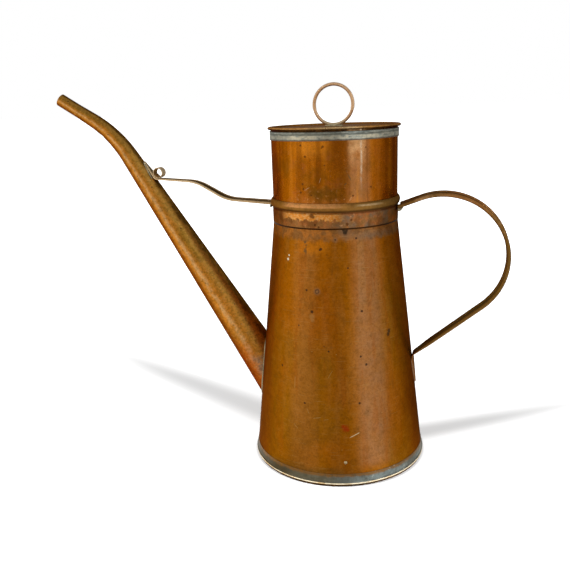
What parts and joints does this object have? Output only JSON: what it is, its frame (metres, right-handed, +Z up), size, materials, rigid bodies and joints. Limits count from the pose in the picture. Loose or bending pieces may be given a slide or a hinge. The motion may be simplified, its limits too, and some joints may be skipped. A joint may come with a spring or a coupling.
{
  "type": "watering can",
  "caption": "Old copper watering can with a conical body, straight neck, lift-off ring-topped lid, long braced spout and a bowed strap handle.",
  "frame": {"origin": "centre of the underside of the base, on the axis of the body", "axes": "+Z up along the axis of the body, +X towards the handle, -X towards the spout, in metres"},
  "size_m": [0.4171, 0.16, 0.3391],
  "materials": {
    "copper_patina": "satin",
    "brass_patina": "satin",
    "solder": "matte"
  },
  "bodies": {
    "can": {"body": "copper_patina", "base_disc": "copper_patina", "base_solder": "solder", "repair_dot": "solder", "neck": "copper_patina", "seam_solder": "solder", "neck_hoop": "brass_patina", "mouth_band": "solder", "spout": "copper_patina", "spout_solder": "solder", "stay": "brass_patina", "stay_curl": "brass_patina", "stay_solder": "solder", "foot_solder": "solder", "handle": "brass_patina", "handle_top_solder": "solder", "handle_tab_solder": "solder"},
    "lid": {"lid_plate": "copper_patina", "lid_collar": "copper_patina", "lid_ring": "brass_patina", "ring_solder": "solder"}
  },
  "joints": [
    {"name": "lid_lift", "type": "slide", "parent": "can", "child": "lid", "axis": [0, 0, 1], "range_m": [0, 0.06]}
  ]
}
